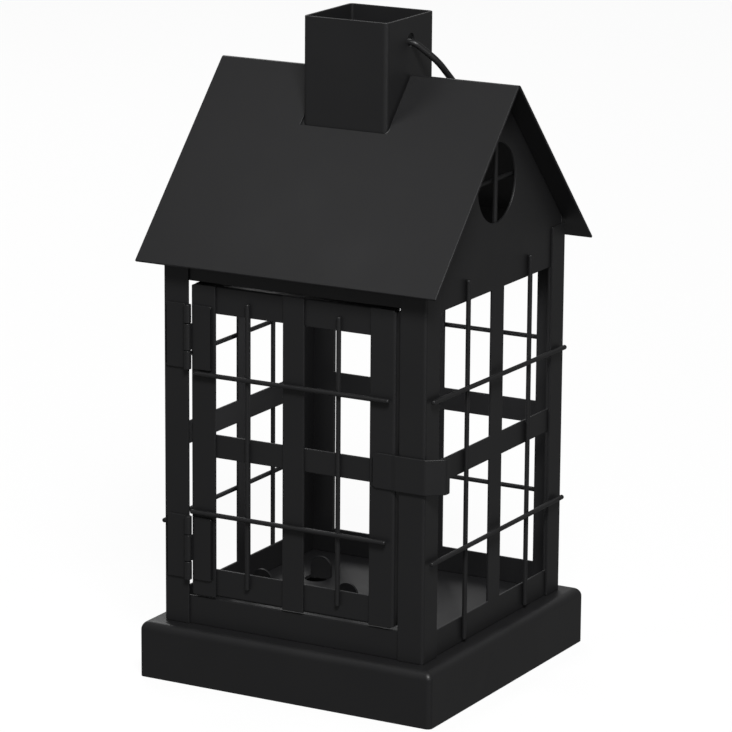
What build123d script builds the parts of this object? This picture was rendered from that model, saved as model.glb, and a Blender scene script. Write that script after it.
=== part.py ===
from build123d import *
from math import atan, cos, degrees, hypot, radians, sin, tan
import os

# House-shaped candle lantern in folded sheet steel. Millimetres, +Z up.
# Origin at the centre of the base underside. The door faces -Y, the ridge runs along X.

# overall sizes
base_side = 125.0          # square base tray
total_height = 250.0       # to the top of the chimney
base_height = 21.6
base_ledge = 7.0           # top of the base outside the corner posts
roof_overhang = 7.6        # roof past the corner posts, all round
chimney_share = 0.0824     # chimney above the ridge, as a share of the total height
roof_share = 0.2732        # eave to ridge, as a share of the total height

# sheet thicknesses
base_sheet = 1.2
post_sheet = 1.0
wall_sheet = 1.0
roof_sheet = 1.0
chimney_sheet = 1.0
door_sheet = 1.0

# base tray
base_corner_radius = 2.0
base_top_radius = 3.2
base_hem = 5.0             # rim turned in under the tray
tab_width = 9.0            # half-round tabs punched up from the floor around a candle
tab_height = 8.0
tab_sheet = 1.0
tab_places = ((-0.819, -0.064), (-0.120, -0.047), (-0.613, 0.435))  # shares of the half width inside

# corner posts
post_flange = 10.8
post_bend_radius = 1.2
post_roof_gap = 1.0        # flat top of a post to the roof's inner skin

# walls
low_pane_rise = 10.0       # base to the lower panes
high_pane_drop = 9.6       # eave to the upper panes
wall_rail = 8.8            # between the lower and upper panes
wall_bar = 9.4             # upright bar between the panes
right_bar_shift = 2.2      # the right wall's bar sits a little behind centre
right_rod_shift = 1.5      # and its uprights with it
round_window_radius = 15.0
round_window_share = 0.448  # its height between eave and ridge

# round rods in the windows
rod_radius = 0.9
rod_spacing_share = 0.552  # uprights, as a share of the window width
rod_end_margin = 1.2       # from the upright's ends to the base and to the eave
rod_high_share = 0.44      # height in the upper panes
rod_low_share = 0.504      # height in the lower panes
rod_overhang = 2.3         # crossing rods stop this far short of the body's corners
short_rod_overhang = 4.8   # the same for the front end of the left wall's upper rod
rod_tilt = 1.4             # the right wall's upper rod drops this much towards the back
gable_rod_overlap = 2.5    # upright's ends past the rim of the round window
gable_crossing_overlap = 7.5
gable_rod_shift = 2.0      # the upright sits a little behind centre

# door
door_hinge_gap = 1.1       # post to the door on the hinge side
door_clasp_gap = 1.6       # post to the door on the clasp side
door_foot_rise = 1.9       # lower panes' bottom to the door's bottom
door_head_rise = 1.7       # upper panes' top to the door's top
door_return = 3.0          # depth of the folded edges
stile_width = 10.6
top_rail_height = 10.6
bottom_rail_height = 10.9
mid_rail_height = 8.9
mid_rail_rise = 0.5        # its centre above the middle of the wall rail
door_bar = 9.0
door_bar_shift = 0.55      # bar's centre from the door's centre
door_corner_radius = 2.0
door_gap = 0.8             # sill and header to the door's edges
door_rod_shift = 0.35      # the rods' centre from the door's centre
door_rod_spacing_share = 0.445
door_rod_high_drop = 1.2   # upper rod's centre below the upper hinge
door_rod_low_rise = 2.1    # lower rod's centre above the lower hinge
door_rod_inset = 5.0       # upright ends inside the door's edges
door_rod_high_ends = (2.6, 1.7)  # upper rod's ends inside the door's left and right edges
door_rod_low_ends = (0.8, 2.7)   # the same for the lower rod

# hinges
hinge_length = 24.6
hinge_foot_inset = 6.1     # lower hinge above the door's bottom
hinge_head_inset = 7.7     # upper hinge below the door's top
hinge_leaf = 0.8
hinge_barrel_radius = 1.4
hinge_pin_radius = 0.7
hinge_middle_knuckle = 10.4
hinge_leaf_reach = 8.4     # from the barrel to a leaf's free edge
knuckle_gap = 0.3
pin_clearance = 0.05
hinge_axis_offset = 0.5    # axis to the door's left edge

# clasp
clasp_sheet = 0.8
clasp_height = 13.4
clasp_rise = 0.9           # its centre above the middle rail's centre
clasp_weld_length = 9.1    # part that lies on the stile
clasp_end_radius = 2.0
clasp_gap = 0.5            # clasp to the face of the post
clasp_corner_gap = 0.5     # bend to the corner of the post
clasp_angle = 38.0
clasp_facet = 7.6
clasp_return = 2.8
clasp_bend_radius = 1.5

# chimney
chimney_side = 35.7
chimney_corner_radius = 2.0
chimney_clearance = 0.6    # roof cut-out to the chimney
chimney_flange = 6.0       # folded flange under the roof
chimney_hem = 2.0          # tube below the flange

# bail handle
bail_radius = 1.25
bail_pivot_drop = 9.4      # chimney top to the wire's centre
bail_hole_radius = 2.5     # loose hole, the wire lies in its lower part
bail_hole_clearance = 0.3  # wire to the bottom of the hole
bail_roof_gap = 0.3
bail_eave_gap = 2.2        # crown's distance short of the eave, along the slope
bail_hook = 5.5            # turned end inside the chimney
bail_inside = 2.5          # turned end's centre line to the chimney's inner face
bail_shoulder = 2.6        # first bend's corner beyond the chimney's inner face
bail_neck = (8.2, 9.0)     # out from the chimney and along the arm
bail_wide = 18.2           # widest point out from the chimney, half way along
bail_crown = 9.7           # crown's bends out from the chimney
bail_bends = (2.2, 3.4, 22.0, 40.0, 24.0)

# derived: body
body_side = base_side - 2 * base_ledge
roof_length = body_side + 2 * roof_overhang    # along the ridge
roof_depth = body_side + 2 * roof_overhang     # eave to eave
chimney_top = total_height
ridge_height = chimney_top - chimney_share * total_height
roof_rise = roof_share * total_height
eave_height = ridge_height - roof_rise
half_body = body_side / 2
half_depth = roof_depth / 2
slope = atan(roof_rise / half_depth)
wall_out = half_body - post_sheet
wall_in = wall_out - wall_sheet
window_half = half_body - post_flange
chimney_half = chimney_side / 2
front_face = -half_body
door_rail_face = front_face + door_sheet
floor = base_height
post_top = ridge_height - roof_sheet / cos(slope) - tan(slope) * half_body - post_roof_gap

# derived: heights in the walls
low_pane_bottom = base_height + low_pane_rise
high_pane_top = eave_height - high_pane_drop
wall_middle = (low_pane_bottom + high_pane_top) / 2
low_pane_top = wall_middle - wall_rail / 2
high_pane_bottom = wall_middle + wall_rail / 2
round_window_height = eave_height + round_window_share * roof_rise
rod_high = high_pane_bottom + rod_high_share * (high_pane_top - high_pane_bottom)
rod_low = low_pane_bottom + rod_low_share * (low_pane_top - low_pane_bottom)
rod_spacing = 2 * window_half * rod_spacing_share

# derived: door and its fittings
door_left = -window_half + door_hinge_gap
door_right = window_half - door_clasp_gap
door_bottom = low_pane_bottom + door_foot_rise
door_top = high_pane_top + door_head_rise
door_width = door_right - door_left
door_height = door_top - door_bottom
door_centre = (door_left + door_right) / 2
door_middle = (door_top + door_bottom) / 2
mid_rail_centre = wall_middle + mid_rail_rise
door_rod_spacing = door_rod_spacing_share * door_width
hinge_x = door_left - hinge_axis_offset
hinge_y = front_face - hinge_barrel_radius
hinge_leaf_width = hinge_barrel_radius + hinge_leaf_reach
hinge_low_bottom = door_bottom + hinge_foot_inset
hinge_high_bottom = door_top - hinge_head_inset - hinge_length
door_rod_high = hinge_high_bottom - door_rod_high_drop
door_rod_low = hinge_low_bottom + hinge_length + door_rod_low_rise
clasp_bottom = mid_rail_centre + clasp_rise - clasp_height / 2
bail_pivot_height = chimney_top - bail_pivot_drop


def under_roof(y):
    """Height of the roof's inner skin above the line at distance y from the ridge."""
    return ridge_height - roof_sheet / cos(slope) - tan(slope) * abs(y)


def trim_to_roof():
    """Remove everything above the roof's inner skin."""
    reach = half_depth + 20
    with BuildSketch(Plane.YZ.offset(-reach)) as above_roof:
        with BuildLine():
            Polyline(
                (-reach, under_roof(reach)),
                (0, under_roof(0)),
                (reach, under_roof(reach)),
                (reach, chimney_top + reach),
                (-reach, chimney_top + reach),
                close=True,
            )
        make_face()
    extrude(above_roof.sketch, amount=2 * reach, mode=Mode.SUBTRACT)


def cut_panes(bar_place):
    """Cut the four panes of a wall into the current sketch."""
    for low, high in ((low_pane_bottom, low_pane_top), (high_pane_bottom, high_pane_top)):
        for near, far in ((-window_half, bar_place - wall_bar / 2), (bar_place + wall_bar / 2, window_half)):
            with Locations(((near + far) / 2, (low + high) / 2)):
                Rectangle(far - near, high - low, mode=Mode.SUBTRACT)


os.makedirs("parts", exist_ok=True)

# ---------------------------------------------------------------- base tray
with BuildPart() as base_tray:
    with BuildSketch():
        RectangleRounded(base_side, base_side, base_corner_radius)
    extrude(amount=base_height)
    fillet(base_tray.faces().sort_by(Axis.Z)[-1].edges(), base_top_radius)
    offset(amount=-base_sheet, openings=base_tray.faces().sort_by(Axis.Z)[0])
    with BuildSketch():
        RectangleRounded(base_side, base_side, base_corner_radius)
        Rectangle(base_side - 2 * base_hem, base_side - 2 * base_hem, mode=Mode.SUBTRACT)
    extrude(amount=base_sheet)
    # the punched slot lies in front of each tab
    for place in tab_places:
        x, y = place[0] * wall_in, place[1] * wall_in
        with BuildSketch(Plane.XY.offset(floor)):
            with Locations((x, y - (tab_height - tab_width / 2) / 2)):
                Rectangle(tab_width, tab_height - tab_width / 2)
            with Locations((x, y - tab_height + tab_width / 2)):
                Circle(tab_width / 2)
        extrude(amount=-2 * base_sheet, mode=Mode.SUBTRACT)
        with BuildSketch(Plane.XZ.offset(-y - tab_sheet)):
            with Locations((x, floor + (tab_height - tab_width / 2 - base_sheet / 2) / 2)):
                Rectangle(tab_width, tab_height - tab_width / 2 + base_sheet / 2)
            with Locations((x, floor + tab_height - tab_width / 2)):
                Circle(tab_width / 2)
        extrude(amount=tab_sheet)
base_tray.part.label = "base_tray"
export_step(base_tray.part, "parts/base_tray.step")

# ---------------------------------------------------------------- corner posts
for side, sx in (("left", -1), ("right", 1)):
    for end, sy in (("front", -1), ("back", 1)):
        with BuildPart() as corner_post:
            with BuildSketch(Plane.XY.offset(base_height)):
                with Locations((sx * (half_body - post_flange / 2), sy * (half_body - post_flange / 2))):
                    Rectangle(post_flange, post_flange)
                with Locations((sx * (wall_out - post_flange / 2), sy * (wall_out - post_flange / 2))):
                    Rectangle(post_flange, post_flange, mode=Mode.SUBTRACT)
            extrude(amount=post_top - base_height)
            corner = corner_post.edges().filter_by(Axis.Z).sort_by(
                lambda e: sx * e.center().X + sy * e.center().Y)[-1]
            fillet(corner, post_bend_radius)
        corner_post.part.label = f"corner_post_{end}_{side}"
        export_step(corner_post.part, f"parts/{corner_post.part.label}.step")

# ---------------------------------------------------------------- gable walls
for side, sx in (("left", -1), ("right", 1)):
    with BuildPart() as gable_wall:
        with BuildSketch(Plane.YZ.offset(min(sx * wall_in, sx * wall_out))):
            with Locations((0, (base_height + ridge_height) / 2)):
                Rectangle(2 * wall_in, ridge_height - base_height)
            cut_panes(right_bar_shift if side == "right" else 0)
            with Locations((0, round_window_height)):
                Circle(round_window_radius, mode=Mode.SUBTRACT)
        extrude(amount=wall_sheet)
        trim_to_roof()
    gable_wall.part.label = f"gable_wall_{side}"
    export_step(gable_wall.part, f"parts/{gable_wall.part.label}.step")

# ---------------------------------------------------------------- back wall, sill and header
with BuildPart() as back_wall:
    with BuildSketch(Plane.XZ.offset(-wall_out)):
        with Locations((0, (base_height + ridge_height) / 2)):
            Rectangle(2 * wall_out, ridge_height - base_height)
        cut_panes(0)
    extrude(amount=wall_sheet)
    trim_to_roof()
back_wall.part.label = "back_wall"
export_step(back_wall.part, "parts/back_wall.step")

with BuildPart() as front_sill:
    with BuildSketch(Plane.XZ.offset(wall_in)):
        with Locations((0, (base_height + door_bottom - door_gap) / 2)):
            Rectangle(2 * wall_out, door_bottom - door_gap - base_height)
    extrude(amount=wall_sheet)
front_sill.part.label = "front_sill"
export_step(front_sill.part, "parts/front_sill.step")

with BuildPart() as front_header:
    with BuildSketch(Plane.XZ.offset(wall_in)):
        with Locations((0, (door_top + door_gap + ridge_height) / 2)):
            Rectangle(2 * wall_out, ridge_height - door_top - door_gap)
    extrude(amount=wall_sheet)
    trim_to_roof()
front_header.part.label = "front_header"
export_step(front_header.part, "parts/front_header.step")

# ---------------------------------------------------------------- roof
with BuildPart() as roof:
    with BuildSketch(Plane.YZ.offset(-roof_length / 2)):
        with BuildLine():
            normal = Vector(sin(slope), cos(slope)) * roof_sheet
            Polyline(
                (-half_depth, eave_height),
                (0, ridge_height),
                (half_depth, eave_height),
                (half_depth - normal.X, eave_height - normal.Y),
                (0, under_roof(0)),
                (-half_depth + normal.X, eave_height - normal.Y),
                close=True,
            )
        make_face()
    extrude(amount=roof_length)
    ridge = roof.edges().filter_by(Axis.X).sort_by(Axis.Z)
    fillet(ridge[-1], 1.6 * roof_sheet)
    opening = chimney_side + 2 * chimney_clearance
    with BuildSketch(Plane.XY.offset(eave_height)):
        Rectangle(opening, opening)
    extrude(amount=chimney_top - eave_height, mode=Mode.SUBTRACT)
roof.part.label = "roof"
export_step(roof.part, "parts/roof.step")

# ---------------------------------------------------------------- chimney
with BuildPart() as chimney:
    # flange folded out against the underside of the roof
    with BuildSketch(Plane.XY.offset(eave_height)):
        Rectangle(chimney_side + 2 * chimney_flange, chimney_side + 2 * chimney_flange)
    extrude(amount=ridge_height - eave_height)
    trim_to_roof()
    flange_drop = chimney_sheet / cos(slope)
    with BuildSketch(Plane.YZ.offset(-chimney_side)):
        with BuildLine():
            Polyline(
                (-half_depth, under_roof(half_depth) - flange_drop),
                (0, under_roof(0) - flange_drop),
                (half_depth, under_roof(half_depth) - flange_drop),
                (half_depth, 0),
                (-half_depth, 0),
                close=True,
            )
        make_face()
    extrude(amount=2 * chimney_side, mode=Mode.SUBTRACT)
    tube_bottom = under_roof(chimney_half) - flange_drop - chimney_hem
    with BuildSketch(Plane.XY.offset(tube_bottom)):
        RectangleRounded(chimney_side, chimney_side, chimney_corner_radius)
    extrude(amount=chimney_top - tube_bottom)
    with BuildSketch(Plane.XY.offset(eave_height)):
        RectangleRounded(chimney_side - 2 * chimney_sheet, chimney_side - 2 * chimney_sheet,
                         chimney_corner_radius - chimney_sheet)
    extrude(amount=chimney_top - eave_height, mode=Mode.SUBTRACT)
    hole_height = bail_pivot_height - bail_radius - bail_hole_clearance + bail_hole_radius
    with BuildSketch(Plane.YZ.offset(-chimney_side)):
        with Locations((0, hole_height)):
            Circle(bail_hole_radius)
    extrude(amount=2 * chimney_side, mode=Mode.SUBTRACT)
chimney.part.label = "chimney"
export_step(chimney.part, "parts/chimney.step")

# ---------------------------------------------------------------- bail handle, laid back on the roof
bail_reach = hypot(half_depth, roof_rise) - bail_eave_gap
# how far the pivot stands above the back slope, measured square to it
pivot_rise = (bail_pivot_height - ridge_height) * cos(slope)
bail_dip = slope + atan((pivot_rise - bail_radius - bail_roof_gap) / bail_reach)
hook_x = chimney_half - chimney_sheet - bail_inside
bail_plane = Plane(origin=(0, 0, bail_pivot_height), x_dir=(1, 0, 0),
                   z_dir=(0, sin(bail_dip), cos(bail_dip)))
with BuildPart() as bail_handle:
    with BuildLine(bail_plane) as bail_path:
        half = [
            (hook_x, -bail_hook),
            (hook_x, 0),
            (chimney_half - chimney_sheet + bail_shoulder, 0),
            (chimney_half + bail_neck[0], bail_neck[1]),
            (chimney_half + bail_wide, bail_reach / 2),
            (chimney_half + bail_crown, bail_reach),
        ]
        other = [(-x, s) for x, s in reversed(half)]
        FilletPolyline(*half, *other, radius=list(bail_bends + bail_bends[::-1]))
    with BuildSketch(Plane(origin=bail_path.line @ 0, z_dir=bail_path.line % 0)):
        Circle(bail_radius)
    sweep(path=bail_path.line)
bail_handle.part.label = "bail_handle"
export_step(bail_handle.part, "parts/bail_handle.step")


# ---------------------------------------------------------------- window rods
def rod(name, start, end):
    """A straight round rod from start to end, its ends slightly rounded."""
    start, end = Vector(*start), Vector(*end)
    with BuildPart() as piece:
        with BuildSketch(Plane(origin=start, z_dir=(end - start).normalized())):
            Circle(rod_radius)
        extrude(amount=(end - start).length)
        chamfer(piece.edges(), rod_radius / 4)
    piece.part.label = name
    export_step(piece.part, f"parts/{name}.step")


upright_bottom = base_height + rod_end_margin
upright_top = eave_height - rod_end_margin
upright_face = wall_out + rod_radius
crossing_face = upright_face + 2 * rod_radius
rod_reach = half_body - rod_overhang
for side, sx in (("left", -1), ("right", 1)):
    for end, sy in (("front", -1), ("back", 1)):
        y = sy * rod_spacing / 2 + (right_rod_shift if side == "right" else 0)
        rod(f"{side}_window_rod_{end}", (sx * upright_face, y, upright_bottom),
            (sx * upright_face, y, upright_top))
    front_reach = half_body - (short_rod_overhang if side == "left" else rod_overhang)
    drop = rod_tilt if side == "right" else 0
    rod(f"{side}_window_rod_upper", (sx * crossing_face, -front_reach, rod_high),
        (sx * crossing_face, rod_reach, rod_high - drop))
    rod(f"{side}_window_rod_lower", (sx * crossing_face, -rod_reach, rod_low),
        (sx * crossing_face, rod_reach, rod_low))
    reach = round_window_radius + gable_rod_overlap
    inner = wall_in - rod_radius
    rod(f"{side}_gable_rod_upright", (sx * inner, gable_rod_shift, round_window_height - reach),
        (sx * inner, gable_rod_shift, round_window_height + reach))
    reach = round_window_radius + gable_crossing_overlap
    rod(f"{side}_gable_rod_crossing", (sx * (inner - 2 * rod_radius), -reach, round_window_height),
        (sx * (inner - 2 * rod_radius), reach, round_window_height))
for end, sx in (("left", -1), ("right", 1)):
    x = sx * rod_spacing / 2
    rod(f"back_window_rod_{end}", (x, upright_face, upright_bottom), (x, upright_face, upright_top))
for level, z in (("upper", rod_high), ("lower", rod_low)):
    rod(f"back_window_rod_{level}", (-rod_reach, crossing_face, z), (rod_reach, crossing_face, z))

# ---------------------------------------------------------------- door
for side, edge, sx in (("left", door_left, 1), ("right", door_right, -1)):
    with BuildPart() as door_stile:
        with BuildSketch(Plane.XZ.offset(half_body - door_sheet)):
            with Locations((edge + sx * stile_width / 2, door_middle)):
                Rectangle(stile_width, door_height)
        extrude(amount=door_sheet)
        with BuildSketch(Plane.XZ.offset(half_body - door_sheet - door_return)):
            with Locations((edge + sx * door_sheet / 2, door_middle)):
                Rectangle(door_sheet, door_height)
        extrude(amount=door_return)
        fillet(door_stile.edges().filter_by(Axis.Z).sort_by(
            lambda e: sx * e.center().X + e.center().Y)[0], 0.8 * door_sheet)
        # the outer corners are rounded off through the face and the return
        with BuildSketch(Plane.XZ.offset(half_body - door_sheet - door_return)) as corners:
            with Locations((edge + sx * stile_width / 2, door_middle)):
                Rectangle(stile_width, door_height)
            with Locations((edge + sx * stile_width, door_middle)):
                RectangleRounded(2 * stile_width, door_height, door_corner_radius,
                                 mode=Mode.SUBTRACT)
        extrude(corners.sketch, amount=door_sheet + door_return, mode=Mode.SUBTRACT)
    door_stile.part.label = f"door_stile_{side}"
    export_step(door_stile.part, f"parts/{door_stile.part.label}.step")

rail_left = door_left + door_sheet
rail_right = door_right - door_sheet
for name, bottom, height, folded in (
    ("door_rail_top", door_top - top_rail_height, top_rail_height, door_top - door_sheet),
    ("door_rail_middle", mid_rail_centre - mid_rail_height / 2, mid_rail_height, None),
    ("door_rail_bottom", door_bottom, bottom_rail_height, door_bottom),
):
    with BuildPart() as door_rail:
        with BuildSketch(Plane.XZ.offset(-door_rail_face - door_sheet)):
            with Locations(((rail_left + rail_right) / 2, bottom + height / 2)):
                Rectangle(rail_right - rail_left, height)
        extrude(amount=door_sheet)
        if folded is not None:
            with BuildSketch(Plane.XZ.offset(-door_rail_face - door_sheet - door_return)):
                with Locations(((rail_left + rail_right) / 2, folded + door_sheet / 2)):
                    Rectangle(rail_right - rail_left, door_sheet)
            extrude(amount=door_return)
    door_rail.part.label = name
    export_step(door_rail.part, f"parts/{name}.step")

with BuildPart() as door_centre_bar:
    with BuildSketch(Plane.XZ.offset(half_body - door_sheet)):
        with Locations((door_centre + door_bar_shift, door_middle)):
            Rectangle(door_bar, door_height)
    extrude(amount=door_sheet)
door_centre_bar.part.label = "door_centre_bar"
export_step(door_centre_bar.part, "parts/door_centre_bar.step")

door_upright_y = door_rail_face - rod_radius
door_crossing_y = door_upright_y - 2 * rod_radius
for side, sx in (("left", -1), ("right", 1)):
    x = door_centre + door_rod_shift + sx * door_rod_spacing / 2
    rod(f"door_rod_{side}", (x, door_upright_y, door_bottom + door_rod_inset),
        (x, door_upright_y, door_top - door_rod_inset))
for level, z, ends in (("upper", door_rod_high, door_rod_high_ends), ("lower", door_rod_low, door_rod_low_ends)):
    rod(f"door_rod_{level}", (door_left + ends[0], door_crossing_y, z),
        (door_right - ends[1], door_crossing_y, z))

# ---------------------------------------------------------------- clasp
with BuildPart() as door_clasp:
    back = -half_body - clasp_sheet / 2
    out = back - clasp_gap
    post_edge = half_body - post_flange
    bend_x = half_body + clasp_corner_gap
    turn = radians(clasp_angle)
    tip = (bend_x + clasp_facet * cos(turn), out + clasp_facet * sin(turn))
    with BuildSketch(Plane.XY.offset(clasp_bottom)):
        with BuildLine() as clasp_line:
            FilletPolyline(
                (door_right - clasp_weld_length, back),
                (door_right - door_sheet, back),
                (door_right + door_sheet, out),
                (bend_x, out),
                tip,
                (tip[0], tip[1] + clasp_return),
                radius=[0.6, 0.6, clasp_bend_radius, clasp_bend_radius],
            )
        trace(line_width=clasp_sheet)
    extrude(amount=clasp_height)
    end_corners = door_clasp.edges().filter_by(Axis.Y).group_by(Axis.X)[0]
    fillet(end_corners, clasp_end_radius)
door_clasp.part.label = "door_clasp"
export_step(door_clasp.part, "parts/door_clasp.step")

# ---------------------------------------------------------------- hinges
end_knuckle = (hinge_length - hinge_middle_knuckle) / 2
slot = hinge_barrel_radius + knuckle_gap


def hinge_half(name, bottom, sx, knuckles, bore):
    """One leaf with its knuckles; sx is the side it lies on, knuckles are (start, end) heights."""
    with BuildPart() as leaf:
        with BuildSketch(Plane.XZ.offset(half_body)):
            with Locations((hinge_x + sx * (slot + hinge_leaf_width) / 2, bottom + hinge_length / 2)):
                Rectangle(hinge_leaf_width - slot, hinge_length)
            for start, stop in knuckles:
                with Locations((hinge_x + sx * slot / 2, bottom + (start + stop) / 2)):
                    Rectangle(slot, stop - start)
        extrude(amount=hinge_leaf)
        for start, stop in knuckles:
            with BuildSketch(Plane.XY.offset(bottom + start)):
                with Locations((hinge_x, hinge_y)):
                    Circle(hinge_barrel_radius)
            extrude(amount=stop - start)
        with BuildSketch(Plane.XY.offset(bottom)):
            with Locations((hinge_x, hinge_y)):
                Circle(bore)
        extrude(amount=hinge_length, mode=Mode.SUBTRACT)
    leaf.part.label = name
    export_step(leaf.part, f"parts/{name}.step")


for level, bottom in (("lower", hinge_low_bottom), ("upper", hinge_high_bottom)):
    middle = (end_knuckle + knuckle_gap / 2, hinge_length - end_knuckle - knuckle_gap / 2)
    ends = ((0, end_knuckle - knuckle_gap / 2), (hinge_length - end_knuckle + knuckle_gap / 2, hinge_length))
    hinge_half(f"{level}_hinge_post_leaf", bottom, -1, ends, hinge_pin_radius)
    hinge_half(f"{level}_hinge_door_leaf", bottom, 1, (middle,), hinge_pin_radius + pin_clearance)
    with BuildPart() as hinge_pin:
        with BuildSketch(Plane.XY.offset(bottom)):
            with Locations((hinge_x, hinge_y)):
                Circle(hinge_pin_radius)
        extrude(amount=hinge_length)
    hinge_pin.part.label = f"{level}_hinge_pin"
    export_step(hinge_pin.part, f"parts/{hinge_pin.part.label}.step")

print("bail dip from level, degrees:", round(degrees(bail_dip), 2))
print("hinge axis:", round(hinge_x, 3), round(hinge_y, 3))
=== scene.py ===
import bpy
import numpy as np
from math import cos, pi, radians, sin, tau
from mathutils import Matrix, Vector


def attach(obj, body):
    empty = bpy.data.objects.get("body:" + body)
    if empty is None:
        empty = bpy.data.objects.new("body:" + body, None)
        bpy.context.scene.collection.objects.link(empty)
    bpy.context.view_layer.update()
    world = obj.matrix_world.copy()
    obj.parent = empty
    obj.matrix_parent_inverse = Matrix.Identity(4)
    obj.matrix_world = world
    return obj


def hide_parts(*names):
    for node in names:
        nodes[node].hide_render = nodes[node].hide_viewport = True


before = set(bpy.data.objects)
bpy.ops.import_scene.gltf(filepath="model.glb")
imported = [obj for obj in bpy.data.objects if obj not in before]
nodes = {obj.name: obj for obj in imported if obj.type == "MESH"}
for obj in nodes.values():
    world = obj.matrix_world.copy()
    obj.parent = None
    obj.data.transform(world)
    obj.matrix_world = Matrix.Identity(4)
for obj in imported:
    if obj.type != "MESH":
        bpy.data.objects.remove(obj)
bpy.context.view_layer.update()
mm = 0.001


# ---- camera: long lens, seen from the front right and a little above ----
cameraSettings = {
    "aim": (0, 0, 0.1155),
    "aside": -0.00012,      # metres to the camera's right
    "distance": 1.55276,
    "azimuth": 29.17,
    "elevation": 13.94,
    "roll": 0.42,
    "lens": 202.2,
    "sensor": 36,
    "clip": (0.05, 60),
}


def placeCamera(s):
    # it looks back along the line from the aim at the azimuth and elevation, rolled about that line
    az, el, roll = (radians(s[k]) for k in ("azimuth", "elevation", "roll"))
    back = Vector((sin(az) * cos(el), -cos(az) * cos(el), sin(el)))
    right = (-back).cross(Vector((0, 0, 1))).normalized()
    up = right.cross(-back)
    x = right * cos(roll) + up * sin(roll)
    y = up * cos(roll) - right * sin(roll)
    place = Vector(s["aim"]) + x * s["aside"] + back * s["distance"]
    data = bpy.data.cameras.new("camera")
    data.sensor_width = s["sensor"]
    data.lens = s["lens"]
    data.clip_start, data.clip_end = s["clip"]
    camera = bpy.data.objects.new("camera", data)
    camera.matrix_world = Matrix((
        (x[0], y[0], back[0], place[0]),
        (x[1], y[1], back[1], place[1]),
        (x[2], y[2], back[2], place[2]),
        (0, 0, 0, 1)))
    bpy.context.scene.collection.objects.link(camera)
    bpy.context.scene.camera = camera


placeCamera(cameraSettings)
print("camera placed")


# ---- materials ----
def fromHex(code):
    # sRGB hex to linear red, green, blue, alpha
    channels = [int(code[i:i + 2], 16) / 255 for i in (1, 3, 5)]
    return [c / 12.92 if c <= 0.04045 else ((c + 0.055) / 1.055) ** 2.4 for c in channels] + [1]


def addNode(tree, kind, settings=None, links=None):
    # settings: attribute or input name -> value; links: input name -> output socket
    node = tree.nodes.new(kind)
    for key, value in (settings or {}).items():
        if key in node.inputs:
            node.inputs[key].default_value = value
        else:
            setattr(node, key, value)
    for key, socket in (links or {}).items():
        tree.links.new(socket, node.inputs[key])
    return node


def clearedTree(owner):
    owner.use_nodes = True
    owner.node_tree.nodes.clear()
    return owner.node_tree


powderCoat = {
    "colour": "#1f1f20",
    "index": 1.5,
    "roughness": (0.40, 0.48),
    "patch": 22,             # mm, the spots where the coat is a little duller or glossier
    "patchRange": (0.3, 0.7),
    "grain": 0.45,           # mm, the fine texture of the cured powder
    "grainDepth": 0.012,     # mm
    "peel": 2.6,             # mm, slow waves of the coat
    "peelDepth": 0.01,
}


def makePowderCoat(name, s):
    # satin black powder coat on steel: dim even faces, broad soft highlights, fine grain up close
    material = bpy.data.materials.new(name)
    tree = clearedTree(material)
    place = {"Vector": addNode(tree, "ShaderNodeTexCoord").outputs["Object"]}
    grain = addNode(tree, "ShaderNodeTexNoise", {"Scale": 1000 / s["grain"], "Detail": 2.0}, place)
    peel = addNode(tree, "ShaderNodeTexNoise", {"Scale": 1000 / s["peel"], "Detail": 1.0}, place)
    patch = addNode(tree, "ShaderNodeTexNoise", {"Scale": 1000 / s["patch"], "Detail": 3.0}, place)
    rough = addNode(tree, "ShaderNodeMapRange",
                    {"From Min": s["patchRange"][0], "From Max": s["patchRange"][1],
                     "To Min": s["roughness"][0], "To Max": s["roughness"][1]},
                    {"Value": patch.outputs["Fac"]})
    waves = addNode(tree, "ShaderNodeBump", {"Strength": 1.0, "Distance": s["peelDepth"] * mm},
                    {"Height": peel.outputs["Fac"]})
    bump = addNode(tree, "ShaderNodeBump", {"Strength": 1.0, "Distance": s["grainDepth"] * mm},
                   {"Height": grain.outputs["Fac"], "Normal": waves.outputs["Normal"]})
    shader = addNode(tree, "ShaderNodeBsdfPrincipled",
                     {"Base Color": fromHex(s["colour"]), "IOR": s["index"]},
                     {"Roughness": rough.outputs["Result"], "Normal": bump.outputs["Normal"]})
    addNode(tree, "ShaderNodeOutputMaterial", None, {"Surface": shader.outputs["BSDF"]})
    return material


blackPowderCoat = makePowderCoat("satinBlackPowderCoat", powderCoat)
for piece in nodes.values():
    piece.data.materials.clear()
    piece.data.materials.append(blackPowderCoat)
print("materials made")


# ---- surfaces shared by the pieces, all sizes in mm ----
def addMesh(name, verts, faces):
    mesh = bpy.data.meshes.new(name)
    mesh.from_pydata(verts.tolist(), [], faces)
    mesh.update()
    piece = bpy.data.objects.new(name, mesh)
    bpy.context.scene.collection.objects.link(piece)
    return piece


def evenNormals(piece):
    # large faces shade flat and only the roundings bend
    even = piece.modifiers.new("even", "WEIGHTED_NORMAL")
    even.weight = 100


def finishPiece(name, surface, body, replaced):
    # a surface in mm becomes a smooth, coated piece in metres that takes its CAD node's place on the body
    verts, faces = surface
    piece = addMesh(name, np.asarray(verts) * mm, faces)
    piece.data.shade_smooth()
    piece.data.materials.append(blackPowderCoat)
    evenNormals(piece)
    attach(piece, body)
    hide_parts(replaced)


def skin(rings):
    # rings: rows x points x 3; each row is a closed loop, the first and last rows are capped with one face
    rows, points = rings.shape[:2]
    i, j = np.meshgrid(np.arange(rows - 1), np.arange(points), indexing="ij")
    k = (j + 1) % points
    quads = np.stack([i * points + j, i * points + k, (i + 1) * points + k, (i + 1) * points + j], -1)
    caps = [list(range(points))[::-1], list(range((rows - 1) * points, rows * points))]
    return rings.reshape(-1, 3), quads.reshape(-1, 4).tolist() + caps


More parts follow.
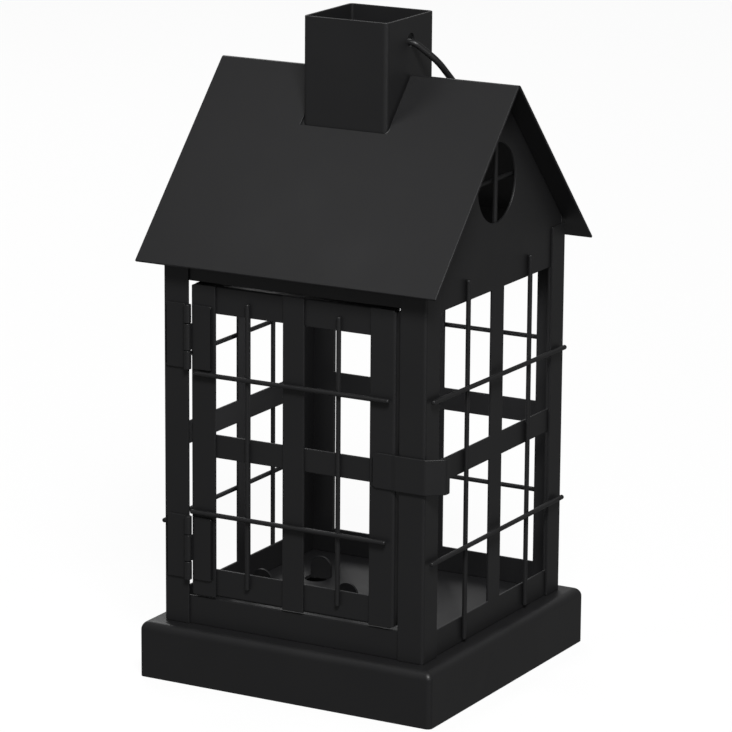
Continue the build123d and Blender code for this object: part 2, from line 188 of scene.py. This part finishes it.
def joinShells(shells):
    # several closed shells as one: each shell's faces count on from the points of those before it
    verts, faces, start = [], [], 0
    for v, f in shells:
        verts.append(v)
        faces += [[index + start for index in face] for face in f]
        start += len(v)
    return np.concatenate(verts), faces


def roundedPath(points, radii, steps=8):
    # straight runs joined by arcs: each corner gives way to the arc that touches both of its runs; the arc's
    # radius line is its first and last one, weighted by the sines of the angle left and the angle done
    points = np.asarray(points, float)
    runs = [points[:1]]
    for before, corner, after, radius in zip(points, points[1:], points[2:], radii):
        u = (before - corner) / np.linalg.norm(before - corner)
        v = (after - corner) / np.linalg.norm(after - corner)
        halfCorner = np.arccos(np.clip(u @ v, -1, 1)) / 2
        centre = corner + (u + v) / np.linalg.norm(u + v) * radius / sin(halfCorner)
        first = corner + u * radius / np.tan(halfCorner) - centre
        last = corner + v * radius / np.tan(halfCorner) - centre
        sweep = pi - 2 * halfCorner
        t = np.linspace(0, 1, steps + 1)[:, None]
        runs.append(centre + (np.sin((1 - t) * sweep) * first + np.sin(t * sweep) * last) / sin(sweep))
    return np.concatenate(runs + [points[-1:]])


def headings(path):
    # at each point, the sum of the unit steps before and after it, brought to length one
    steps = np.diff(path, axis=0)
    steps /= np.linalg.norm(steps, axis=1)[:, None]
    along = np.concatenate([steps[:1], steps[:-1] + steps[1:], steps[-1:]])
    return along / np.linalg.norm(along, axis=1)[:, None]


def roundedCut(inward, radius):
    # how much a corner of this radius takes off at a distance in from the end: the radius less the height of
    # its circle there
    return radius - np.sqrt(radius ** 2 - (radius - np.clip(inward, 0, radius)) ** 2)


def repeatEnds(rows, count):
    return np.concatenate([np.repeat(rows[:1], count, 0), rows[1:-1], np.repeat(rows[-1:], count, 0)])


def softEnds(path, along, inset):
    # the two end points become rows of points set in along the path
    return np.concatenate([path[0] + along[0] * inset[:, None], path[1:-1],
                           path[-1] - along[-1] * inset[::-1, None]])


def tube(path, radius, across, end=0.5, sides=24, endRings=5):
    # a circle carried along the path; at both ends its radius follows a quarter turn of the end's rounding
    path = np.asarray(path, float)
    along = headings(path)
    turn = np.linspace(0, pi / 2, endRings)
    inset, size = end * (1 - np.cos(turn)), radius - end * (1 - np.sin(turn))
    centre = softEnds(path, along, inset)
    size = np.concatenate([size, np.full(len(path) - 2, radius), size[::-1]])
    along = repeatEnds(along, endRings)
    across = np.asarray(across, float)
    other = np.cross(along, across)
    angle = np.linspace(0, tau, sides, endpoint=False)
    rings = centre[:, None] + size[:, None, None] * (np.cos(angle)[None, :, None] * across
                                                     + np.sin(angle)[None, :, None] * other[:, None])
    return skin(rings)


def bentSheet(path, thickness, low, high, edge, axes, endRings=4, cornerPoints=5):
    # a rectangle with round corners carried along a flat path: thickness across the path, low to high
    # along the third axis; at both ends the corners' rounding runs out along a quarter turn
    path = np.asarray(path, float)
    low, high = np.broadcast_to(low, len(path)), np.broadcast_to(high, len(path))
    along = headings(path)
    turn = np.linspace(pi / 12, pi / 2, endRings)
    middle = softEnds(path, along, edge * (1 - np.cos(turn)))
    along, low, high = (repeatEnds(rows, endRings) for rows in (along, low, high))
    grow = np.concatenate([np.sin(turn), np.ones(len(path) - 2), np.sin(turn)[::-1]]) * edge
    quarter = np.linspace(0, pi / 2, cornerPoints)
    angle = np.concatenate([quarter + k * pi / 2 for k in range(4)])
    sideways = np.repeat([1, -1, -1, 1], cornerPoints) * (thickness / 2 - edge)
    upward = np.repeat([1, 1, 0, 0], cornerPoints)
    across = sideways[None] + grow[:, None] * np.cos(angle)
    lift = ((high - edge)[:, None] * upward + (low + edge)[:, None] * (1 - upward)
            + grow[:, None] * np.sin(angle))
    normal = np.stack([-along[:, 1], along[:, 0]], -1)
    flat = middle[:, None] + across[..., None] * normal[:, None]
    first, second, third = np.asarray(axes, float)
    return skin(flat[..., :1] * first + flat[..., 1:] * second + lift[..., None] * third)


lying = ((1, 0, 0), (0, 1, 0), (0, 0, 1))       # path in plan, rising along Z
standing = ((0, 1, 0), (0, 0, 1), (1, 0, 0))    # path in the YZ plane, running along X


# ---- corner posts: folded angles ----
posts = {"out": 55.5, "flange": 10.8, "sheet": 1.0, "bend": 0.8, "bendSteps": 10, "edge": 0.3,
         "foot": 21.6, "top": 166.85}
postMiddle = posts["out"] - posts["sheet"] / 2
flangeEnd = posts["out"] - posts["flange"]
for end, sy in (("front", -1), ("back", 1)):
    for side, sx in (("left", -1), ("right", 1)):
        path = roundedPath([(sx * flangeEnd, sy * postMiddle), (sx * postMiddle, sy * postMiddle),
                            (sx * postMiddle, sy * flangeEnd)], [posts["bend"]], posts["bendSteps"])
        name = f"corner_post_{end}_{side}"
        surface = bentSheet(path, posts["sheet"], posts["foot"], posts["top"], posts["edge"], lying)
        finishPiece(f"{name}_folded", surface, "lantern", name)
print("posts made")

# ---- door: folded stiles, rails and centre bar, one sheet thickness behind each other ----
door = {
    "left": -43.6, "right": 43.1, "foot": 33.5, "head": 153.2, "sheet": 1.0, "edge": 0.32,
    "face": -55.5,           # the front of the stiles
    "return": 3.0,           # how far the folded rims reach back past the sheet
    "stile": 10.6, "stileBend": 0.75, "corner": 2.0,
    "cornerRows": (1.6, 1.75, 1.9, 2.0, 6.0),    # where the stile's outline is followed round its corner
    "railBend": 0.7, "topRail": 142.6, "bottomRail": 44.4, "middleRail": (87.6, 96.5),
    "bar": (-4.2, 4.8),
}
halfSheet = door["sheet"] / 2
stileY = door["face"] + halfSheet
railY = stileY + door["sheet"]
rimEnd = door["return"] + halfSheet
for side, x, sx in (("left", door["left"], 1), ("right", door["right"], -1)):
    fold = roundedPath([(x + sx * halfSheet, stileY + rimEnd), (x + sx * halfSheet, stileY),
                        (x + sx * (halfSheet + door["sheet"]), stileY)], [door["stileBend"]])
    rest = x + sx * np.array(door["cornerRows"] + (door["stile"],))
    path = np.concatenate([fold[:-1], np.stack([rest, np.full(len(rest), stileY)], -1)])
    cut = roundedCut(np.abs(path[:, 0] - x), door["corner"])
    surface = bentSheet(path, door["sheet"], door["foot"] + cut, door["head"] - cut, door["edge"], lying)
    finishPiece(f"door_stile_{side}_folded", surface, "door", f"door_stile_{side}")

railTop, railFoot = door["head"] - halfSheet, door["foot"] + halfSheet
rails = {
    "door_rail_top": [(railY + rimEnd, railTop), (railY, railTop), (railY, door["topRail"])],
    "door_rail_middle": [(railY, z) for z in door["middleRail"]],
    "door_rail_bottom": [(railY + rimEnd, railFoot), (railY, railFoot), (railY, door["bottomRail"])],
}
for name, points in rails.items():
    path = roundedPath(points, [door["railBend"]] * (len(points) - 2))
    surface = bentSheet(path, door["sheet"], door["left"] + door["sheet"], door["right"] - door["sheet"],
                        door["edge"], standing)
    finishPiece(f"{name}_folded", surface, "door", name)
surface = bentSheet([(x, stileY) for x in door["bar"]], door["sheet"], door["foot"], door["head"],
                    door["edge"], lying)
finishPiece("door_centre_bar_soft", surface, "door", "door_centre_bar")
print("door made")

# ---- clasp: one strip bent around the corner post ----
clasp = {
    "foot": 86.25, "head": 99.65, "sheet": 0.8, "edge": 0.32,
    "end": 34.0, "corner": 2.0,
    "lead": (0.35, 7),       # round the welded end: the outline's first angle and its rows
    "step": (42.1, 44.1),    # where it rises from the stile to clear the post
    "turn": 56.0,            # where it leaves the front for the slanted facet
    "facet": 7.6, "angle": 38.0, "tail": 2.8,
    "welded": -55.9, "free": -56.4,
    "bends": (0.6, 0.6, 1.6, 1.6), "bendSteps": 10,
}
slant = radians(clasp["angle"])
tip = (clasp["turn"] + clasp["facet"] * cos(slant), clasp["free"] + clasp["facet"] * sin(slant))
path = roundedPath([(clasp["end"], clasp["welded"]), (clasp["step"][0], clasp["welded"]),
                    (clasp["step"][1], clasp["free"]), (clasp["turn"], clasp["free"]),
                    tip, (tip[0], tip[1] + clasp["tail"])], clasp["bends"], clasp["bendSteps"])
firstAngle, leadRows = clasp["lead"]
lead = clasp["end"] + clasp["corner"] * (1 - np.cos(np.linspace(firstAngle, pi / 2, leadRows)))
path = np.concatenate([path[:1], np.stack([lead, np.full(leadRows, clasp["welded"])], -1), path[1:]])
cut = roundedCut(path[:, 0] - clasp["end"], clasp["corner"])
surface = bentSheet(path, clasp["sheet"], clasp["foot"] + cut, clasp["head"] - cut, clasp["edge"], lying)
finishPiece("door_clasp_bent", surface, "door", "door_clasp")
print("clasp made")

# ---- hinges: leaves with rolled knuckles on a round pin ----
hinge = {
    "axis": (-44.1, -56.9), "feet": {"lower": 39.6, "upper": 120.9}, "length": 24.6,
    "leaf": 0.8, "leafY": -55.9, "reach": 9.8, "slot": 1.7, "edge": 0.3,
    "corner": 0.9, "cornerDrop": 0.9, "cornerRows": 7,
    "barrel": 1.4, "roll": 0.62, "rollAngle": 305, "rollRows": 40, "rollEdge": 0.2, "overlap": 0.5,
    "pin": 0.7, "pinEnd": 0.25,
    "knuckles": {"door": ((7.25, 17.35),), "post": ((0.0, 6.95), (17.65, 24.6))},
}
ax, ay = hinge["axis"]
curl = hinge["barrel"] - hinge["roll"] / 2
for level, foot in hinge["feet"].items():
    for side, sx, body in (("door", 1, "door"), ("post", -1, "lantern")):
        quarter = np.linspace(0, pi / 2, hinge["cornerRows"])
        inward = np.append(hinge["corner"] * (1 - np.cos(quarter)), hinge["reach"] - hinge["slot"])
        path = np.stack([ax + sx * (hinge["reach"] - inward), np.full(len(inward), hinge["leafY"])], -1)
        cut = roundedCut(inward, hinge["corner"]) * hinge["cornerDrop"]
        shells = [bentSheet(path, hinge["leaf"], foot + cut, foot + hinge["length"] - cut,
                            hinge["edge"], lying)]
        angle = pi / 2 + sx * np.linspace(0, radians(hinge["rollAngle"]), hinge["rollRows"])
        rolled = np.stack([ax + curl * np.cos(angle), ay + curl * np.sin(angle)], -1)
        path = np.concatenate([[(ax + sx * (hinge["slot"] + hinge["overlap"]), ay + curl)], rolled])
        for low, high in hinge["knuckles"][side]:
            shells.append(bentSheet(path, hinge["roll"], foot + low, foot + high, hinge["rollEdge"], lying))
        finishPiece(f"{level}_hinge_{side}_leaf_rolled", joinShells(shells), body,
                    f"{level}_hinge_{side}_leaf")
    pinPath = [(ax, ay, foot + hinge["length"] * share) for share in (0, 0.5, 1)]
    surface = tube(pinPath, hinge["pin"], (1, 0, 0), hinge["pinEnd"])
    finishPiece(f"{level}_hinge_pin_round", surface, "lantern", f"{level}_hinge_pin")
print("hinges made")

# ---- round rods with softly rounded ends ----
rods = {
    "radius": 0.9, "end": 0.55,
    "upright": 55.4, "crossing": 57.2,      # how far out the uprights and the rods that cross them sit
    "spacing": 24.674, "doorSpacing": 19.291, "doorMiddle": 0.1,
    "foot": 22.8, "top": 159.9, "doorFoot": 38.5, "doorTop": 148.2,
    "upper": 120.392, "lower": 59.597, "over": 53.2,
    "doorUpper": (-41.0, 41.4, 119.7), "doorLower": (-42.8, 40.4, 66.3),
    "side": {"left": (0, 50.7, 0), "right": (1.5, 53.2, 1.4)},    # shift back, reach forward, drop behind
    "gableUpright": (52.6, 2, 174.198, 209.198), "gableCrossing": (50.8, 22.5, 191.698),
}
upright, crossing, over = rods["upright"], rods["crossing"], rods["over"]
runs = {}
for side, sx in (("left", -1), ("right", 1)):
    shift, front, drop = rods["side"][side]
    for end, y in (("front", shift - rods["spacing"]), ("back", shift + rods["spacing"])):
        runs[f"{side}_window_rod_{end}"] = [(sx * upright, y, rods[z]) for z in ("foot", "top")]
    runs[f"{side}_window_rod_upper"] = [(sx * crossing, -front, rods["upper"]),
                                        (sx * crossing, over, rods["upper"] - drop)]
    runs[f"{side}_window_rod_lower"] = [(sx * crossing, y, rods["lower"]) for y in (-over, over)]
    x, y, low, high = rods["gableUpright"]
    runs[f"{side}_gable_rod_upright"] = [(sx * x, y, z) for z in (low, high)]
    x, reach, z = rods["gableCrossing"]
    runs[f"{side}_gable_rod_crossing"] = [(sx * x, y, z) for y in (-reach, reach)]
    runs[f"back_window_rod_{side}"] = [(sx * rods["spacing"], upright, rods[z]) for z in ("foot", "top")]
    doorX = rods["doorMiddle"] + sx * rods["doorSpacing"]
    runs[f"door_rod_{side}"] = [(doorX, -upright, rods[z]) for z in ("doorFoot", "doorTop")]
for level in ("upper", "lower"):
    runs[f"back_window_rod_{level}"] = [(x, crossing, rods[level]) for x in (-over, over)]
for level, (left, right, z) in (("upper", rods["doorUpper"]), ("lower", rods["doorLower"])):
    runs[f"door_rod_{level}"] = [(x, -crossing, z) for x in (left, right)]
for name, ends in runs.items():
    start, stop = np.array(ends)
    across = (1, 0, 0) if start[0] == stop[0] else (0, 0, 1)
    surface = tube([start, (start + stop) / 2, stop], rods["radius"], across, rods["end"])
    finishPiece(f"{name}_round", surface, "door" if name.startswith("door") else "lantern", name)
print("rods made")

# ---- bail: one wire hooked into the chimney, laid back on the roof ----
bail = {
    "radius": 1.25, "pivot": 240.6, "reach": 90.786, "hook": (14.35, -5.5), "shoulder": 19.45,
    "neck": (26.05, 9.0), "wide": 36.05, "crown": 27.55, "bends": (2.2, 3.4, 22.0, 40.0, 24.0),
    "bendSteps": 24, "end": 0.6, "sides": 28, "restGap": 1.55,
}
roofLine = {"ridge": 229.4, "rise": 68.3, "run": 63.1}
# it dips by the roof's pitch plus the angle whose tangent is its height over the slope per reach
pitch = np.arctan(roofLine["rise"] / roofLine["run"])
clear = (bail["pivot"] - roofLine["ridge"]) * cos(pitch) - bail["restGap"]
dip = pitch + np.arctan(clear / bail["reach"])
halfBail = [bail["hook"], (bail["hook"][0], 0), (bail["shoulder"], 0), bail["neck"],
            (bail["wide"], bail["reach"] / 2), (bail["crown"], bail["reach"])]
path = roundedPath(halfBail + [(-x, s) for x, s in halfBail[::-1]], bail["bends"] + bail["bends"][::-1],
                   bail["bendSteps"])
path = np.stack([path[:, 0], path[:, 1] * cos(dip), bail["pivot"] - path[:, 1] * sin(dip)], -1)
surface = tube(path, bail["radius"], (0, sin(dip), cos(dip)), bail["end"], bail["sides"])
finishPiece("bail_handle_wire", surface, "bail", "bail_handle")
print("bail made")

# ---- edges of the remaining sheet parts, softened by the coat ----
edges = {"weld": 0.005, "radius": 0.3, "segments": 3, "flatWithin": 0.5, "sharpFrom": 30}   # mm and degrees
smooth = bpy.data.node_groups.new("shadeSmooth", "GeometryNodeTree")
for way in ("INPUT", "OUTPUT"):
    smooth.interface.new_socket("Geometry", in_out=way, socket_type="NodeSocketGeometry")
start = addNode(smooth, "NodeGroupInput")
shade = addNode(smooth, "GeometryNodeSetShadeSmooth", {"Shade Smooth": True},
                {"Geometry": start.outputs["Geometry"]})
addNode(smooth, "NodeGroupOutput", None, {"Geometry": shade.outputs["Geometry"]})
sheetNodes = ["base_tray", "gable_wall_left", "gable_wall_right", "back_wall", "front_sill", "front_header",
              "roof", "chimney"]
for name in sheetNodes:
    piece = nodes[name]
    weld = piece.modifiers.new("weld", "WELD")
    weld.merge_threshold = edges["weld"] * mm
    clean = piece.modifiers.new("clean", "DECIMATE")
    clean.decimate_type = "DISSOLVE"
    clean.angle_limit = radians(edges["flatWithin"])
    bevel = piece.modifiers.new("edges", "BEVEL")
    bevel.width = edges["radius"] * mm
    bevel.segments = edges["segments"]
    bevel.limit_method = "ANGLE"
    bevel.angle_limit = radians(edges["sharpFrom"])
    piece.modifiers.new("smooth", "NODES").node_group = smooth
    evenNormals(piece)
print("edges softened")


# ---- stage: floor, backdrop and soft light ----
stageSettings = {"floorSide": 24.0, "floorColour": "#4a4a4a", "floorGlow": 0.93, "floorRoughness": 0.9,
                 "domeRadius": 30.0, "domeGlow": 1.0, "domeRows": 24, "domeColumns": 48, "white": "#ffffff"}
white = fromHex(stageSettings["white"])

corners = np.array([(-1, -1, 0), (1, -1, 0), (1, 1, 0), (-1, 1, 0)]) * stageSettings["floorSide"] / 2
floor = addMesh("floor", corners, [(0, 1, 2, 3)])
# a lit white table, so bright that hardly any shadow shows
floorPaint = bpy.data.materials.new("whiteFloor")
tree = clearedTree(floorPaint)
shader = addNode(tree, "ShaderNodeBsdfPrincipled", {
    "Base Color": fromHex(stageSettings["floorColour"]), "Roughness": stageSettings["floorRoughness"],
    "Emission Color": white, "Emission Strength": stageSettings["floorGlow"]})
addNode(tree, "ShaderNodeOutputMaterial", None, {"Surface": shader.outputs["BSDF"]})
floor.data.materials.append(floorPaint)

# a sphere around everything, from rows of latitude and columns of longitude
rows, columns = stageSettings["domeRows"], stageSettings["domeColumns"]
theta, phi = np.meshgrid(np.linspace(0, pi, rows + 1), np.linspace(0, tau, columns, endpoint=False),
                         indexing="ij")
domeVerts = stageSettings["domeRadius"] * np.stack([np.sin(theta) * np.cos(phi), np.sin(theta) * np.sin(phi),
                                                    np.cos(theta)], -1).reshape(-1, 3)
row, column = np.meshgrid(np.arange(rows), np.arange(columns), indexing="ij")
after = (column + 1) % columns
domeFaces = np.stack([row * columns + column, row * columns + after,
                      (row + 1) * columns + after, (row + 1) * columns + column], -1).reshape(-1, 4)
dome = addMesh("dome", domeVerts, domeFaces.tolist())
# plain white paper, lit evenly
domePaint = bpy.data.materials.new("whiteBackdrop")
tree = clearedTree(domePaint)
glow = addNode(tree, "ShaderNodeEmission", {"Color": white, "Strength": stageSettings["domeGlow"]})
addNode(tree, "ShaderNodeOutputMaterial", None, {"Surface": glow.outputs["Emission"]})
dome.data.materials.append(domePaint)
for thing in (floor, dome):
    thing.visible_diffuse = False
    thing.visible_glossy = False
    thing.visible_transmission = False
dome.visible_shadow = False

# dim room with a slightly brighter wall behind the lantern, whose sheen lies on the top faces
room = {"even": 0.15, "wall": 0.16, "behind": (-0.30, 0.86, 0.42), "spread": (0.80, 0.97)}
world = bpy.data.worlds.new("studio")
bpy.context.scene.world = world
tree = clearedTree(world)
direction = addNode(tree, "ShaderNodeTexCoord").outputs["Generated"]
behind = addNode(tree, "ShaderNodeVectorMath", {"operation": "DOT_PRODUCT"}, {0: direction})
behind.inputs[1].default_value = Vector(room["behind"]).normalized()
wall = addNode(tree, "ShaderNodeMapRange",
               {"interpolation_type": "SMOOTHSTEP", "From Min": room["spread"][0],
                "From Max": room["spread"][1], "To Min": 0.0, "To Max": room["wall"]},
               {"Value": behind.outputs["Value"]})
total = addNode(tree, "ShaderNodeMath", {"operation": "ADD"}, {1: wall.outputs["Result"]})
total.inputs[0].default_value = room["even"]
glow = addNode(tree, "ShaderNodeBackground", {"Color": white}, {"Strength": total.outputs["Value"]})
addNode(tree, "ShaderNodeOutputWorld", None, {"Surface": glow.outputs["Background"]})

softboxes = {
    "key": {"place": (0.56, -0.80, 1.05), "aim": (0, 0, 0.15), "size": (0.35, 0.35), "watts": 14},
    "strip": {"place": (1.15, -0.62, 0.20), "aim": (0, 0, 0.12), "size": (0.22, 0.38), "watts": 0.6},
    "roofGlow": {"place": (-0.19, -0.18, 0.54), "aim": (0.03, -0.03, 0.2), "size": (0.12, 0.12),
                 "watts": 0.06},
    "inside": {"place": (0, -0.01, 0.142), "aim": (0, 0, 0.02), "size": (0.05, 0.05), "watts": 0.09},
    "backLeft": {"place": (-0.95, 0.95, 0.95), "aim": (0, 0, 0.12), "size": (0.6, 0.6), "watts": 3.5},
}
for name, s in softboxes.items():
    light = bpy.data.lights.new(name, "AREA")
    light.shape = "RECTANGLE"
    light.size, light.size_y = s["size"]
    light.energy = s["watts"]
    lamp = bpy.data.objects.new(name, light)
    lamp.location = s["place"]
    lamp.rotation_euler = (Vector(s["aim"]) - Vector(s["place"])).to_track_quat("-Z", "Y").to_euler()
    lamp.visible_camera = False
    lamp.visible_glossy = name != "inside"      # the lamp inside only lifts the dark, it makes no highlights
    bpy.context.scene.collection.objects.link(lamp)
bpy.context.scene.view_settings.view_transform = "Standard"
print("stage and light set")
